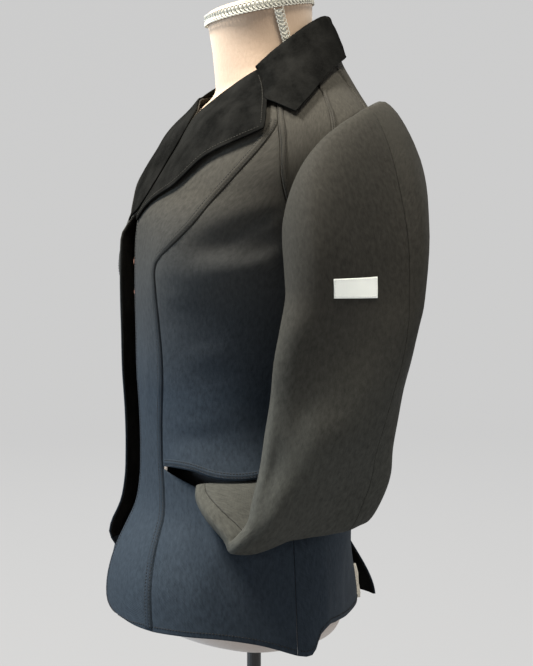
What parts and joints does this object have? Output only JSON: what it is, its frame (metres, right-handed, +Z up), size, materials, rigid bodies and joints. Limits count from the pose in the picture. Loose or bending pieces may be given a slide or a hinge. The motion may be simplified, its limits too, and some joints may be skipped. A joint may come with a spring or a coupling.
{
  "type": "dressage show jacket on its limbless dress form",
  "caption": "Fitted dark riding show jacket with napped collar and lapels, worn open by a limbless dress form on a pole and round base.",
  "frame": {"origin": "on the pole's axis at the underside of the base", "axes": "+Z up, -Y towards the jacket's front, +X towards the wearer's left"},
  "size_m": [0.4789, 0.3057, 0.9241],
  "materials": {
    "wool_upper": "fine charcoal twill with a slight sheen",
    "wool_lower": "the same twill, cooler in the shade",
    "nap": "black napped cloth",
    "lining": "smooth taupe lining",
    "pocket_cloth": "plain black cotton",
    "label": "off-white woven tape, left bare",
    "stud": "polished copper-coloured metal",
    "form_cover": "close-fitting pale knitted cover",
    "stand": "satin black"
  },
  "bodies": {
    "root": {"front_left": "wool_upper", "front_right": "wool_upper", "side_front_left": "wool_upper", "side_front_right": "wool_upper", "front_yoke_left": "wool_upper", "front_yoke_right": "wool_upper", "back_yoke_left": "wool_upper", "back_yoke_right": "wool_upper", "top_sleeve_left": "wool_upper", "top_sleeve_right": "wool_upper", "under_sleeve_left": "wool_upper", "under_sleeve_right": "wool_upper", "lower_front_left": "wool_lower", "lower_front_right": "wool_lower", "back_left": "wool_lower", "back_right": "wool_lower", "collar": "nap", "lapel_left": "nap", "lapel_right": "nap", "front_facing_right": "nap", "vent_facing_right": "lining", "pocket_bag_left": "pocket_cloth", "pocket_bag_right": "pocket_cloth", "sleeve_label": "label", "press_stud_1": "stud", "press_stud_2": "stud", "press_stud_3": "stud", "form_torso": "form_cover", "neck_cap": "form_cover", "stand_base": "stand", "stand_pole": "stand"}
  },
  "joints": []
}
